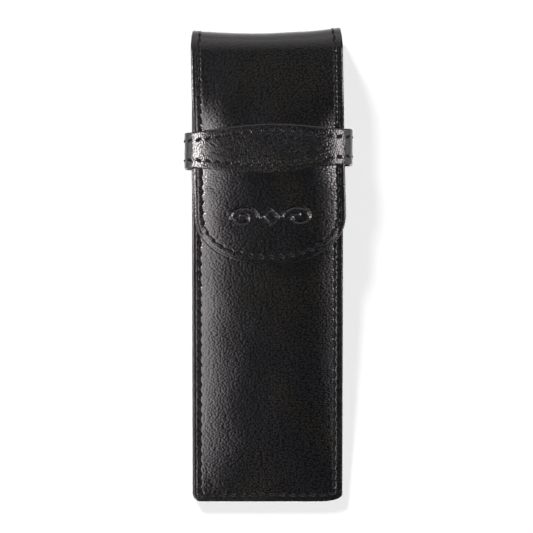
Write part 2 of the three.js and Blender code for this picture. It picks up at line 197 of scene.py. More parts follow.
def strap_path():
    """The keeper's line: its length from the middle, x, z, and its place from 0 on top to 1 at the tails."""
    t = np.linspace(-1, 1, 4001)
    size = np.abs(t)
    angle = np.clip(size / 0.8, 0, 1) * np.pi / 2
    reach = (np.sin(angle) ** STRAP_POWER + np.cos(angle) ** STRAP_POWER) ** (-1 / STRAP_POWER)
    corner, tail_z = 2.2, LEATHER + LAYER_GAP + 0.02
    turned = turned_in(size)
    bend = turned * np.pi / 2
    inward = np.clip((size - 0.93) / 0.07, 0, 1)
    half = STRAP_HALF - corner
    x = np.where(size < 0.8, STRAP_HALF * reach * np.sin(angle), half + corner * np.cos(bend))
    x = x - inward * (half - TAIL_X)
    over = STRAP_SIDE_Z + (STRAP_TOP - STRAP_SIDE_Z) * reach * np.cos(angle)
    z = np.where(size < 0.8, over, tail_z + corner - corner * np.sin(bend))
    x = np.sign(t) * x + STRAP_SHIFT * (1 - turned)
    length = np.concatenate([[0], np.cumsum(np.hypot(np.diff(x), np.diff(z)))])
    return length - length[2000], x, z, size


STRAP_S, STRAP_PX, STRAP_PZ, STRAP_TURN = strap_path()


def strap_half_height(x):
    share = np.cos(np.pi / 2 * np.minimum(1, np.abs(x) / 26))
    return 5.95 + 2.15 * np.maximum(share, 0) ** 1.5


def strap_surface(flat):
    x = np.interp(flat[..., 0], STRAP_S, STRAP_PX)
    z = np.interp(flat[..., 0], STRAP_S, STRAP_PZ)
    return np.stack([x, STRAP_Y + x * math.tan(STRAP_LEAN) + flat[..., 1], z], -1)


def normals_of(surface, flat, step=0.04):
    along = np.array([step, 0.0])
    up = np.array([0.0, step])
    across = surface(flat + along) - surface(flat - along)
    rising = surface(flat + up) - surface(flat - up)
    normal = np.cross(across, rising)
    return normal / np.maximum(np.linalg.norm(normal, axis=-1, keepdims=True), 1e-9)


# Relief of the leather, in millimetres above the plain surface

def waves(flat, seed, shortest, longest, amount, count=18):
    """A soft unevenness: plane waves in many directions, over the flat leather."""
    random = np.random.default_rng(seed)
    total = np.zeros(flat.shape[:-1])
    for _ in range(count):
        angle, phase = random.uniform(0, 2 * np.pi, 2)
        size = shortest * (longest / shortest) ** random.uniform()
        ahead = flat[..., 0] * np.cos(angle) + flat[..., 1] * np.sin(angle)
        total += np.sin(ahead * 2 * np.pi / size + phase)
    return amount * total / math.sqrt(count)


def rim(edge, width=0.62, drop=0.42):
    share = 1 - np.clip(edge / width, 0, 1)
    return -drop * (1 - np.sqrt(np.maximum(0, 1 - share * share)))


def edge_relief(edge):
    """The creased line, the groove that the stitches lie in, and the shoulder between them."""
    crease = -0.012 * np.exp(-(((edge - CREASE) / 0.16) ** 2))
    groove = -0.018 * np.exp(-(((edge - INSET) / 0.55) ** 2))
    shoulder = 0.03 * np.exp(-(((edge - 1.85) / 0.4) ** 2))
    return rim(edge) + crease + groove + shoulder


def strap_relief(edge):
    return rim(edge, 0.5, 0.3) - 0.03 * np.exp(-(((edge - INSET) / 0.5) ** 2))


def pits(edge, phase):
    """How far each point is into one of the slanted slits that the stitches go down, from 0 to 1."""
    along = (phase - np.round(phase)) * PITCH
    return np.exp(-((along / 0.62) ** 4)) * np.exp(-(((edge - INSET + 0.45 * along) / 0.27) ** 2))


# Outlines

def resampled(points, count):
    """A line's points spaced evenly along it, count steps."""
    points = np.asarray(points, float)
    length = np.concatenate([[0], np.cumsum(np.hypot(*np.diff(points, axis=0).T))])
    at = np.linspace(0, length[-1], count + 1)
    return np.stack([np.interp(at, length, points[:, i]) for i in (0, 1)], -1)


def rounded(side_x, side_y, edge_x, edge_y, across, along, count):
    """From a side at side_y, round a corner, to the end edge at edge_x."""
    sign_x, sign_y = np.sign(edge_x - side_x), np.sign(side_y - edge_y)
    angle = np.linspace(0, np.pi / 2, 24)
    x = side_x + sign_x * across * (1 - np.cos(angle))
    y = edge_y + sign_y * along * (1 - np.sin(angle))
    points = np.concatenate([[[side_x, side_y]], np.stack([x, y], -1), [[edge_x, edge_y]]])
    return resampled(points, count)


def mouth_edge(x):
    return MOUTH_Y - MOUTH_SCOOP * np.cos(np.minimum(1, np.abs(x) / SEAM_X) * np.pi / 2) ** 2


def bottom_corners(edge):
    """Both bottom corners at a distance from the edge, left one first, and the straight part between."""
    low = BOTTOM_Y + edge * BOTTOM_INSET_SHARE
    side = HALF_WIDTH - edge
    left_end, right_end = -18.0, 14.5
    small = max(2.8 - edge, 0.7)
    left = rounded(-side, BOTTOM_Y + CORNER_RUN, left_end, low, small, small, CORNER_STEPS)
    wide, tall = max(7.5 - edge, 1.2), max(2.4 - edge * 0.5, 0.7)
    right = rounded(side, BOTTOM_Y + CORNER_RUN, right_end, low, wide, tall, CORNER_STEPS)[::-1]
    middle = np.stack([np.linspace(left_end, right_end, 41), np.full(41, low)], -1)
    return left, middle, right


def side_line(x, start, end, step):
    count = max(2, int(round(abs(end - start) / step)))
    return np.stack([np.full(count + 1, x), np.linspace(start, end, count + 1)], -1)


def chained(*lines):
    return np.concatenate([line[:-1] for line in lines[:-1]] + [lines[-1]])


def front_ring(edge):
    """Once round the front, from the middle of its top left corner, down the left side first."""
    left, middle, right = bottom_corners(edge)
    side = HALF_WIDTH - edge
    small = max(1.1 - edge * 0.3, 0.5)
    top = MOUTH_Y - edge
    mouth_x = np.linspace(MOUTH_END, -MOUTH_END, 47)
    corner = rounded(side, FRONT_SIDE_TOP, MOUTH_END, top, small, small, 2 * HALF_CORNER)
    corner[:, 1] += (mouth_edge(corner[:, 0]) - MOUTH_Y) * smooth((corner[:, 1] - FRONT_SIDE_TOP) / 5)
    mirror = (corner * [-1, 1])[::-1]
    down = side_line(-side, FRONT_SIDE_TOP, BOTTOM_Y + CORNER_RUN, ROW_STEP)
    mouth = np.stack([mouth_x, mouth_edge(mouth_x) - edge], -1)
    up = down[::-1] * [-1, 1]
    start, rest = mirror[HALF_CORNER:], mirror[: HALF_CORNER + 1]
    return chained(start, down, left, middle, right, up, corner, mouth, rest)[:-1]


# Where the grid's corners lie along each ring
BOTTOM_POINTS = 40 + CORNER_STEPS
FRONT_SIDE_ROWS = int(round((FRONT_SIDE_TOP - BOTTOM_Y - CORNER_RUN) / ROW_STEP))
FRONT_SIDE = HALF_CORNER + FRONT_SIDE_ROWS + CORNER_STEPS // 2
FRONT_CORNERS = (0, FRONT_SIDE, FRONT_SIDE + BOTTOM_POINTS, 2 * FRONT_SIDE + BOTTOM_POINTS)


def to_strip(points):
    """Points of the back in plan, in the strip's coordinates."""
    return np.stack([points[..., 0], BACK_START + BACK_Y - points[..., 1]], -1)


def fine_from_cut(direction):
    """The first rows beside the cut are close together, so that the two halves shade as one."""
    return CUT + direction * np.array([0, 0.03, 0.08, 0.2, 0.5])


BACK_SIDE_END = BACK_START + BACK_Y - BOTTOM_Y - CORNER_RUN


def back_ring(edge, inset=0.0):
    """Down the back's left side from the cut, along the bottom and up the right side."""
    edge = edge + inset
    left, middle, right = bottom_corners(edge)
    side = HALF_WIDTH - edge
    start = fine_from_cut(1)
    first = np.stack([np.full(5, -side), start], -1)
    down = chained(first, side_line(-side, start[-1], BACK_SIDE_END, ROW_STEP))
    return chained(down, to_strip(left), to_strip(middle), to_strip(right), down[::-1] * [-1, 1])


BACK_SIDE = 4 + int(round((BACK_SIDE_END - CUT - 0.5) / ROW_STEP)) + CORNER_STEPS // 2
BACK_CORNERS = (0, BACK_SIDE, BACK_SIDE + BOTTOM_POINTS)

TONGUE_STEPS = 232
TONGUE_SIDE = 34  # steps of the tongue that count as a side of the grid
TONGUE_START = TONGUE - FRONT_Y
FINE_TOP = 27 - FRONT_Y  # the rows are closer together from here to the tongue, for the ornament


def flap_ring(edge, inset=0.0, fine=0.24):
    """Down the flap's left side from the cut, round the tongue and up the right side."""
    edge = edge + inset
    side, length = HALF_WIDTH - edge, TONGUE - edge
    start = fine_from_cut(-1)
    down = chained(
        np.stack([np.full(5, -side), start], -1),
        side_line(-side, start[-1], FINE_TOP, ROW_STEP),
        side_line(-side, FINE_TOP, TONGUE_START, fine),
    )
    angle = np.linspace(np.pi, 2 * np.pi, 401)
    power = 2 / TONGUE_POWER
    x = side * np.abs(np.cos(angle)) ** power * np.sign(np.cos(angle))
    w = TONGUE_START - length * np.abs(np.sin(angle)) ** power
    tongue = resampled(np.stack([x, w], -1), TONGUE_STEPS)
    tongue[-1] = [side, TONGUE_START]
    return chained(down, tongue, down[::-1] * [-1, 1])


def flap_corners(fine=0.24):
    count = 4 + int(round((CUT - 0.5 - FINE_TOP) / ROW_STEP)) + int(round((FINE_TOP - TONGUE_START) / fine))
    return 0, count + TONGUE_SIDE, count + TONGUE_STEPS - TONGUE_SIDE


# Meshes

def make_mesh(name, points, faces, flat=None, edge=None, flip=False, pit=None):
    """A smooth mesh from points in millimetres, with its flat coordinates kept for the grain."""
    mesh = bpy.data.meshes.new(name)
    if flip:
        faces = [face[::-1] for face in faces]
    mesh.from_pydata((np.asarray(points) * MM).tolist(), [], [list(f) for f in faces])
    mesh.shade_smooth()
    if flat is not None:
        layer = mesh.attributes.new("flat", "FLOAT_VECTOR", "POINT")
        full = np.zeros((len(points), 3), np.float32)
        full[:, : flat.shape[1]] = flat
        layer.data.foreach_set("vector", full.ravel())
    for key, values in (("edge", edge), ("pit", pit)):
        if values is not None:
            layer = mesh.attributes.new(key, "FLOAT", "POINT")
            layer.data.foreach_set("value", np.asarray(values, np.float32))
    mesh.update()
    item = bpy.data.objects.new(name, mesh)
    bpy.context.scene.collection.objects.link(item)
    return item


def quads(first, second):
    """Quads between two rows of indices."""
    return np.stack([first[:-1], first[1:], second[1:], second[:-1]], -1)


def coons(left, bottom, right, top):
    """Fills four lines: left and right run down, bottom and top run right."""
    rows, columns = len(left), len(bottom)
    v = np.linspace(0, 1, rows)[:, None, None]
    u = np.linspace(0, 1, columns)[None, :, None]
    lines = (1 - v) * top[None] + v * bottom[None] + (1 - u) * left[:, None] + u * right[:, None]
    ends = (1 - v) * ((1 - u) * top[0] + u * top[-1]) + v * ((1 - u) * bottom[0] + u * bottom[-1])
    return lines - ends


TOP_EDGES = [INMOST, 3.75, 3.35, 3.05, 2.86, 2.7, 2.54, 2.35, 2.1, 1.85, 1.62, 1.48, 1.37, 1.3, 1.25, 1.2]
TOP_EDGES += [1.13, 1.02, 0.88, 0.72, 0.56, 0.4, 0.26, 0.15, 0.06, 0.01]
LINING_TOPS = [INMOST, 2.7, 1.2, 0.5, 0.25, 0.1, 0.02]
# Down the cut edge and in under the panel: distance from the edge, and share of the thickness
UNDER_EDGES = [(0.0, 0.25), (0.0, 0.6), (0.05, 0.85), (0.2, 0.97), (0.6, 1.0), (INMOST, 1.0)]


def panel(
    name, ring, corners, surface, thickness, relief, base=0.0, closed=False, tops=TOP_EDGES, phase=None
):
    """A leather panel: rings round its rim, and a grid that fills each face inside them.

    The rings lie at the distances in tops, from the grid out to the edge, then go round under it. The
    grid's corners are the ring's points numbered in corners, and the base is how deep the panel lies.
    """
    flats, heights, edges, depths = [], [], [], []
    for edge in tops:
        line = ring(edge)
        pit = 0 * line[:, 0] if phase is None else pits(edge, phase)
        flats.append(line)
        heights.append(relief(line, np.full(len(line), edge)) - base - SLIT_DEPTH * pit * pit)
        edges.append(np.full(len(line), edge))
        depths.append(pit)
    count = len(flats[0])
    outer = ring(0.0)
    rim_height = relief(outer, np.zeros(count))
    for edge, share in UNDER_EDGES:
        line = outer if edge == 0 else ring(edge)
        flats.append(line)
        heights.append(rim_height + (-thickness(line) - rim_height) * share - base)
        edges.append(np.full(count, 0.0 if edge < 0.3 else INNER_MARK))
        depths.append(np.zeros(count))
    rings = len(flats)
    index = np.arange(rings * count).reshape(rings, count)
    faces = []
    for k in range(rings - 1):
        first, second = index[k], index[k + 1]
        if closed:
            first, second = np.append(first, first[0]), np.append(second, second[0])
        faces.append(quads(first, second))
    flat, height, edge_value, depth_value = map(np.concatenate, (flats, heights, edges, depths))
    for face in (0, rings - 1):
        line, marks = flats[face], index[face]
        if closed:
            line, marks = np.append(line, line[:1], 0), np.append(marks, marks[0])
        c1, c2 = corners[1:3]
        c3 = corners[3] if closed else len(line) - 1
        left, bottom, right = line[: c1 + 1], line[c1 : c2 + 1], line[c2 : c3 + 1][::-1]
        share = np.linspace(0, 1, len(bottom))[:, None]
        top = line[c3:][::-1] if closed else left[0] * (1 - share) + right[0] * share
        grid = coons(left, bottom, right, top)
        numbers = -np.ones(grid.shape[:2], int)
        numbers[:, 0], numbers[:, -1] = marks[: c1 + 1], marks[c2 : c3 + 1][::-1]
        numbers[-1] = marks[c1 : c2 + 1]
        if closed:
            numbers[0] = marks[c3:][::-1]
        new = numbers < 0
        numbers[new] = len(flat) + np.arange(new.sum())
        inner = grid[new]
        far = np.full(len(inner), INNER_MARK)
        depth = relief(inner, far) if face == 0 else -thickness(inner)
        flat = np.concatenate([flat, inner])
        height = np.concatenate([height, depth - base])
        edge_value = np.concatenate([edge_value, far])
        cells = np.stack([numbers[:-1, :-1], numbers[1:, :-1], numbers[1:, 1:], numbers[:-1, 1:]], -1)
        cells = cells.reshape(-1, 4)
        faces.append(cells if face == 0 else cells[:, ::-1])
    normal = normals_of(surface, flat)
    points = surface(flat) + normal * height[:, None]
    faces = np.concatenate(faces)
    # Both parts of the winding are made to agree with the surface's own normals
    band = (rings - 1) * (count if closed else count - 1)
    for part, sample in ((slice(0, band), 0), (slice(band, None), (len(faces) - band) // 4)):
        corner = faces[part][sample]
        a, b, c = points[corner[:3]]
        if np.dot(np.cross(b - a, c - a), normal[corner[0]]) < 0:
            faces[part] = faces[part][:, ::-1]
    pit = np.concatenate([depth_value, np.zeros(len(points) - len(depth_value))])
    return make_mesh(name, points, faces.tolist(), flat, edge_value, pit=pit)


def stitch_row(surface, flat_line):
    """Hole positions along a line of flat coordinates, and each point's place counted in stitches."""
    points = surface(flat_line)
    length = np.concatenate([[0], np.cumsum(np.linalg.norm(np.diff(points, axis=0), axis=1))])
    count = max(1, round(length[-1] / PITCH))
    at = np.linspace(0, length[-1], count + 1)
    spots = np.stack([np.interp(at, length, flat_line[:, i]) for i in (0, 1)], -1)
    return spots, length / length[-1] * count


def stitches(name, rows, surface, base=0.0, sign=1, seed=1):
    """Saddle stitches: each a short three-ply cord that comes up at one hole and goes down at the next."""
    random = np.random.default_rng(seed)
    around, along = 12, 15
    radius, flatten, slant = 0.27, 0.82, 0.3
    sunk, proud = 0.6, 0.1  # the stitch's ends, and the height of its middle
    u = np.linspace(0, 1, along)
    arch = np.clip(np.minimum(u, 1 - u) / 0.4, 0, 1)
    height = -sunk + (sunk + proud) * np.sin(arch * np.pi / 2) ** 0.8
    shift = u * 0.86 + 0.07
    phi = np.linspace(0, 2 * np.pi, around, endpoint=False)
    points, faces, flats = [], [], []
    for spots in rows:
        place = surface(spots)
        normal = normals_of(surface, spots)
        for i in range(len(spots) - 1):
            start, end, up = place[i], place[i + 1], normal[i] + normal[i + 1]
            up = up / np.linalg.norm(up)
            ahead = end - start
            span = np.linalg.norm(ahead)
            ahead = ahead / span
            side = np.cross(up, ahead)
            side /= np.linalg.norm(side)
            drift = slant * (1 - 2 * u) + random.normal(0, 0.02)
            bulge = height + random.normal(0, 0.015)
            centre = start + ahead * (shift * span)[:, None] - side * drift[:, None]
            centre = centre + up * (sign * bulge - base)[:, None]
            twist = 2.6 * 2 * np.pi * u + random.uniform(0, 6)
            lobes = radius * (0.86 + 0.14 * np.abs(np.cos(1.5 * (phi[None] - twist[:, None]))))
            tangent = np.gradient(centre, axis=0)
            tangent /= np.linalg.norm(tangent, axis=1, keepdims=True)
            out = np.cross(np.broadcast_to(side, tangent.shape), tangent)
            cross = (
                side * (np.cos(phi)[None, :, None] * lobes[..., None])
                + out[:, None] * (np.sin(phi)[None, :, None] * lobes[..., None] * flatten)
            )
            ring = centre[:, None] + cross
            first = len(points) * along * around
            points.append(ring.reshape(-1, 3))
            flats.append(np.stack([np.repeat(u * span, around), np.tile(phi, along)], -1))
            index = first + np.arange(along * around).reshape(along, around)
            wrapped = np.concatenate([index, index[:, :1]], 1)
            for k in range(along - 1):
                faces.append(quads(wrapped[k], wrapped[k + 1]))
    faces = np.concatenate(faces).tolist()
    return make_mesh(name, np.concatenate(points), faces, np.concatenate(flats), flip=True)


def loft(name, loops, flats, edges=None, pit=None):
    """A closed skin over a row of sections: each loop goes once round one of them."""
    rows, count = len(loops), len(loops[0])
    index = np.arange(rows * count).reshape(rows, count)
    wrapped = np.concatenate([index, index[:, :1]], 1)
    faces = np.concatenate([quads(wrapped[k], wrapped[k + 1]) for k in range(rows - 1)]).tolist()
    faces.append(index[0][::-1].tolist())
    faces.append(index[-1].tolist())
    points = np.concatenate(loops)
    centre = np.mean(loops[rows // 2], axis=0)
    a, b, c = (points[i] for i in faces[len(faces) // 2][:3])
    flip = np.dot(np.cross(b - a, c - a), a - centre) < 0
    edge = np.full(len(points), INNER_MARK) if edges is None else np.concatenate(edges)
    pit = None if pit is None else np.concatenate(pit)
    return make_mesh(name, points, faces, np.concatenate(flats), edge, flip, pit)


def at_height(surface, height):
    """The same surface, moved along its normals."""
    return lambda flat: surface(flat) + normals_of(surface, flat) * np.asarray(height(flat))[..., None]


def constant(value):
    return lambda flat: np.full(flat.shape[:-1], float(value))


def plain_relief(flat, edge):
    return rim(edge, 0.25, 0.16)


def sewn_relief(seed, extra=None):
    """Rim, crease and groove along a panel's edge, and a soft unevenness over all of it."""

    def relief(flat, edge):
        height = edge_relief(edge) + waves(flat, seed, 14, 60, 0.045)
        height = height + waves(flat, seed + 1, 3.5, 9, 0.008)
        return height if extra is None else height + extra(flat, edge)

    return relief


# Pieces of the pocket

front_line = front_ring(INSET)
front_line = np.append(front_line, front_line[:1], 0)
seam_spots, seam_phase = stitch_row(front_surface, front_line[: FRONT_CORNERS[3] + 1])
mouth_spots, mouth_phase = stitch_row(front_surface, front_line[FRONT_CORNERS[3] :])
front_phase = np.concatenate([seam_phase, mouth_phase[1:-1]])
front_panel = panel(
    "front_skin",
    front_ring,
    FRONT_CORNERS,
    front_surface,
    constant(LEATHER),
    sewn_relief(11),
    closed=True,
    phase=front_phase,
)
front_lining = panel(
    "front_lining_skin",
    lambda edge: front_ring(edge + 0.22),
    FRONT_CORNERS,
    front_surface,
    constant(LINING),
    plain_relief,
    base=LEATHER + LAYER_GAP,
    closed=True,
    tops=LINING_TOPS,
)
seam_stitches = stitches("seam_stitches", [seam_spots], front_surface, base=0.06, seed=3)
mouth_stitches = stitches("mouth_stitches", [mouth_spots[:-1]], front_surface, base=0.06, seed=4)

BACK_RECESS = 0.6  # the seam on the back is sunk, so that the case lies flat
BACK_OFFSET = 0.16  # and the rest of the back keeps its waves off the floor


def back_recess(flat, edge=None):
    fade = smooth((flat[..., 1] - BACK_START + 4.5) / 6)
    return -BACK_RECESS * fade * (1 if edge is None else smooth((4.6 - edge) / 1.4))


def back_relief(flat, edge):
    return back_recess(flat, edge) - BACK_OFFSET * smooth((flat[..., 1] - BACK_START + 6) / 6)


back_line = back_ring(INSET)
back_spots, back_phase = stitch_row(strip_surface, back_line)
back_panel = panel(
    "back_skin",
    back_ring,
    BACK_CORNERS,
    strip_surface,
    constant(LEATHER),
    sewn_relief(21, back_relief),
    phase=back_phase,
)
back_seam = at_height(strip_surface, back_recess)
back_stitches = stitches("back_stitches", [back_spots], back_seam, base=0.08, seed=5)


def board_step(flat):
    """How far the stiffener under it lifts the lining of the back."""
    y = BACK_Y - (flat[..., 1] - BACK_START)
    step = np.minimum((20.2 - np.abs(flat[..., 0])) / 1.6, (y - BOTTOM_Y - 7) / 3.5)
    return BOARD_STEP * np.clip(step, 0, 1) * smooth((73.4 - y) / 2)


def back_lining_ring(edge):
    """The lining stops short of the keeper's ends, which are sewn in beside it."""
    line = back_ring(edge, 0.22)
    y = BACK_Y - (line[:, 1] - BACK_START) - STRAP_Y - line[:, 0] * math.tan(STRAP_LEAN)
    window = smooth((7.9 - np.abs(y)) / 0.9)
    over = np.maximum(0, np.abs(line[:, 0]) - 22.4)
    line[:, 0] -= np.sign(line[:, 0]) * over * 0.97 * window
    return line


back_lining = panel(
    "back_lining_skin",
    back_lining_ring,
    BACK_CORNERS,
    strip_surface,
    lambda flat: LINING + board_step(flat),
    lambda flat, edge: plain_relief(flat, edge) - board_step(flat),
    base=LEATHER + LAYER_GAP,
    tops=LINING_TOPS,
)


def gusset(name, side):
    """A side wall of the pocket, folded in, that narrows to nothing near the bottom."""
    loops, flats = [], []
    corner_turn = np.linspace(0, np.pi / 2, 8)
    floor_z, roof = 1.7, 1.725  # on the lining of the back, and under the lining of the front
    flange_x = np.array([25.0, 24.9, 24.4, 23.6])
    slack = 0.22 * np.sin(np.linspace(0, np.pi, 9)[1:-1])
    for y in np.concatenate([np.linspace(-74, 50, 76), np.linspace(51, 59.6, 14), [59.85, 59.97, 60.0]]):
        room = front_height(SEAM_X, y) - roof - floor_z
        thick = min(0.6, 0.4 * room)
        closing = 0.5 if y > 59.99 else 0.2 if y > 59.9 else 0.0
        low, high = floor_z + thick, floor_z + room - thick
        corner = min(1.2, (high - low) / 2)
        paths = []
        for offset in (closing * thick, thick * (1 - closing)):
            reach = corner + offset
            centre_x = 21.2 + corner
            upper_z = high - corner + reach * np.cos(corner_turn)
            upper = np.stack([centre_x - reach * np.sin(corner_turn), upper_z], -1)
            lower = np.stack([upper[:, 0], low + high - upper[:, 1]], -1)[::-1]
            wall_z = np.linspace(upper[-1, 1], lower[0, 1], 9)[1:-1]
            sway = slack * (1 + 0.6 * math.sin(y * 0.21) + 0.3 * math.sin(y * 0.47))
            wall = np.stack([upper[-1, 0] - sway * min(1, room / 5), wall_z], -1)
            top = np.stack([flange_x, np.full(4, upper[0, 1])], -1)
            bottom = np.stack([flange_x, np.full(4, lower[-1, 1])], -1)[::-1]
            paths.append(np.concatenate([top, upper, wall, lower, bottom]))
        middle = [(paths[0][i] + paths[1][i]) / 2 + [0.06, 0] for i in (0, -1)]
        loop = np.concatenate([paths[0], [middle[1]], paths[1][::-1], [middle[0]]])
        length = np.concatenate([[0], np.cumsum(np.hypot(*np.diff(paths[0], axis=0).T))])
        run = np.concatenate([length, [length[-1]], length[::-1], [0]])
        loops.append(np.stack([side * loop[:, 0], np.full(len(loop), y), loop[:, 1]], -1))
        flats.append(np.stack([run, np.full(len(loop), y)], -1))
    return loft(name, loops, flats)


gusset_left = gusset("gusset_left_skin", -1)
gusset_right = gusset("gusset_right_skin", 1)


DIVIDER_FLOOR = LEATHER + LAYER_GAP + BOARD_STEP + LINING + LAYER_GAP
DIVIDER_FOOT = 0.7  # thickness of the sewn foot


def divider():
    """The upright wall between the pens, bent out into a sewn foot."""
    low = DIVIDER_FLOOR
    foot_top = low + DIVIDER_FOOT
    loops, flats = [], []
    arc = np.linspace(0, np.pi, 9)
    for y in np.concatenate([[-58, -57.9, -57.6], np.linspace(-56.5, 50.8, 60), [51.6, 51.9, 52]]):
        end = min(abs(y - 52), abs(y + 58))
        soft = 0.3 * (1 - math.sqrt(max(0, 1 - (1 - min(1, end / 0.4)) ** 2)))
        ceiling = float(front_height(np.array(0.0), np.array(float(y)))) - 2.05
        half = 0.5 - soft
        toe = 7.25 - soft
        foot = [(half, low), (7.0, low), (toe, low + 0.2), (toe, low + 0.5), (7.0, foot_top)]
        foot += [(x, foot_top) for x in (5.6, 5.0, 4.2, 2.4, 1.3)]
        foot += [(half + 0.35, low + 0.8), (half, low + 1.2)]
        rise = np.linspace(low + 1.2, ceiling - 0.5, 8)[1:]
        right = [(half, z) for z in rise]
        top = [(half * math.cos(a), ceiling - 0.5 + half * math.sin(a)) for a in arc[1:-1]]
        left = [(-half, z) for z in rise[::-1]] + [(-half, low)]
        loop = np.array(foot + right + top + left)
        loops.append(np.stack([loop[:, 0], np.full(len(loop), y), loop[:, 1]], -1))
        flats.append(np.stack([loop[:, 0] + loop[:, 1], np.full(len(loop), y)], -1))
    return loft("divider_skin", loops, flats)


def foot_surface(flat):
    level = np.full(flat.shape[:-1], DIVIDER_FLOOR + DIVIDER_FOOT)
    return np.stack([flat[..., 0], flat[..., 1], level], -1)


divider_skin = divider()
divider_line = np.stack([np.full(40, 5.0), np.linspace(-56, 50, 40)], -1)
divider_spots = stitch_row(foot_surface, divider_line)[0]
divider_stitches = stitches("divider_stitches", [divider_spots], foot_surface, seed=6)


# The keeper

def strap_band(name, last_turn, base, thick, inset, step, tops, sewn):
    """A band along the keeper: the sewn outer leather with its tails, or the plain lining under it."""
    inside = STRAP_S[STRAP_TURN <= last_turn]
    start, end = inside[0], inside[-1]
    stations = np.linspace(start, end, int((end - start) / step))
    x = np.interp(stations, STRAP_S, STRAP_PX)
    turn = np.interp(stations, STRAP_S, STRAP_TURN)
    half = strap_half_height(x) - inset
    thickness = np.full(len(x), thick)
    if sewn:
        thickness += (TAIL_THICKNESS - thick) * turned_in(turn)
    tops = sorted(tops)
    middle = np.linspace(0, 1, 12)[1:-1]
    upper = [half - edge for edge in tops]
    upper += [(half - INMOST) * (1 - 2 * part) for part in middle]
    upper += [edge - half for edge in tops[::-1]]
    across = np.array(upper).T
    marks = np.array(tops + [INNER_MARK] * len(middle) + tops[::-1])
    flat = np.stack([np.broadcast_to(stations[:, None], across.shape), across], -1)
    edge = np.broadcast_to(marks, across.shape)
    if sewn:
        phase = stitch_row(strap_surface, np.stack([stations, half - INSET], -1))[1][:, None]
        bend = smooth((np.abs(x)[:, None] - 20) / 5)
        along = stations[:, None]
        folds = 0.007 * np.sin(across * 5.1 + 1.2 * np.sin(along * 0.35))
        folds = folds + 0.005 * np.sin(across * 8.3 + 2 * np.sin(along * 0.23 + 1))
        pit = pits(edge, phase)
        height = strap_relief(edge) - STRAP_SLIT_DEPTH * pit * pit + waves(flat, 31, 9, 30, 0.04)
        height = height + folds * bend * smooth((edge - 3.0) / 1.2)
    else:
        height = plain_relief(flat, edge)
        pit = 0 * height
    height = height * (thickness / thick)[:, None] - base
    rim_height = height[:, 0] + base
    under = [(0.0, 0.6), (0.05, 0.85), (0.2, 0.97), (0.6, 1.0), (2.5, 1.0)]
    lower = [edge - half for edge, _ in under] + [half - edge for edge, _ in under[::-1]]
    depths = [rim_height * (1 - part) - thickness * part - base for _, part in under + under[::-1]]
    across = np.concatenate([across, np.array(lower).T], 1)
    height = np.concatenate([height, np.array(depths).T], 1)
    flat = np.stack([np.broadcast_to(stations[:, None], across.shape), across], -1)
    marks = np.concatenate([marks, [0] * 3, [INNER_MARK] * 4, [0] * 3])
    points = strap_surface(flat) + normals_of(strap_surface, flat, 0.2) * height[..., None]
    pit = np.concatenate([pit, np.zeros((len(stations), len(lower)))], 1)
    return loft(name, list(points), list(flat), [marks] * len(stations), list(pit))


strap_skin = strap_band("keeper_skin", 1.0, 0.0, STRAP_LEATHER, 0.0, 0.42, TOP_EDGES, True)
strap_lining = strap_band(
    "keeper_lining_skin",
    0.72,
    STRAP_LEATHER + LAYER_GAP,
    STRAP_LINING,
    0.3,
    0.8,
    LINING_TOPS + [0.0],
    False,
)
strap_rows = []
inside = STRAP_S[STRAP_TURN <= 0.79]
strap_s = np.linspace(inside[0], inside[-1], 240)
for side in (1, -1):
    half = strap_half_height(np.interp(strap_s, STRAP_S, STRAP_PX))
    strap_rows.append(stitch_row(strap_surface, np.stack([strap_s, side * (half - INSET)], -1))[0])
strap_stitches = stitches("keeper_stitches", strap_rows, strap_surface, base=0.06, seed=7)


# The flap

def ornament_points():
    """The pressed lines: a lozenge between two scrolls."""
    lines = []
    for side in (-1, 1):
        lines.append(resampled([[0, 2.4], [side * 2.6, 0], [0, -2.4]], 60))
        t = np.linspace(0, 1, 320)
        angle, reach = 2.6 * np.pi * t, 1 - 0.8 * t
        lines.append(np.stack([side * (9.4 - 5.4 * reach * np.cos(angle)), 3.6 * reach * np.sin(angle)], -1))
    return np.concatenate(lines) + [0, ORNAMENT_Y - FRONT_Y]


ORNAMENT = ornament_points()
ORNAMENT_DEPTH = 0.4


def pressed(flat, edge):
    """The depth of the pressed ornament, with the leather raised a little beside its lines."""
    height = np.zeros(len(flat))
    near = (np.abs(flat[:, 0]) < 16.5) & (np.abs(flat[:, 1] + FRONT_Y - ORNAMENT_Y) < 5)
    near &= edge > 2.9
    if near.any():
        gap = np.sqrt(((flat[near][:, None] - ORNAMENT[None]) ** 2).sum(-1)).min(1)
        raised = 0.02 * np.exp(-(((gap - 0.6) / 0.25) ** 2))
        height[near] = raised - ORNAMENT_DEPTH * (1 - smooth((gap - 0.1) / 0.3))
    return height


flap_line = flap_ring(INSET)
flap_spots, flap_phase = stitch_row(strip_surface, flap_line)
flap_skin = panel(
    "flap_skin",
    flap_ring,
    flap_corners(),
    strip_surface,
    constant(LEATHER),
    sewn_relief(41, pressed),
    phase=flap_phase,
)
flap_lining = panel(
    "flap_lining_skin",
    lambda edge: flap_ring(edge, 0.2, 0.85),
    flap_corners(0.85),
    strip_surface,
    constant(LINING),
    plain_relief,
    base=LEATHER + LAYER_GAP,
    tops=LINING_TOPS,
)
flap_stitches = stitches("flap_stitches", [flap_spots], strip_surface, base=0.06, seed=8)
inner_spots = flap_spots[flap_spots[:, 1] < 1]
inner_base = LEATHER + LAYER_GAP + LINING
flap_stitches_inner = stitches(
    "flap_stitches_inner", [inner_spots], strip_surface, base=inner_base, sign=-1, seed=9
)
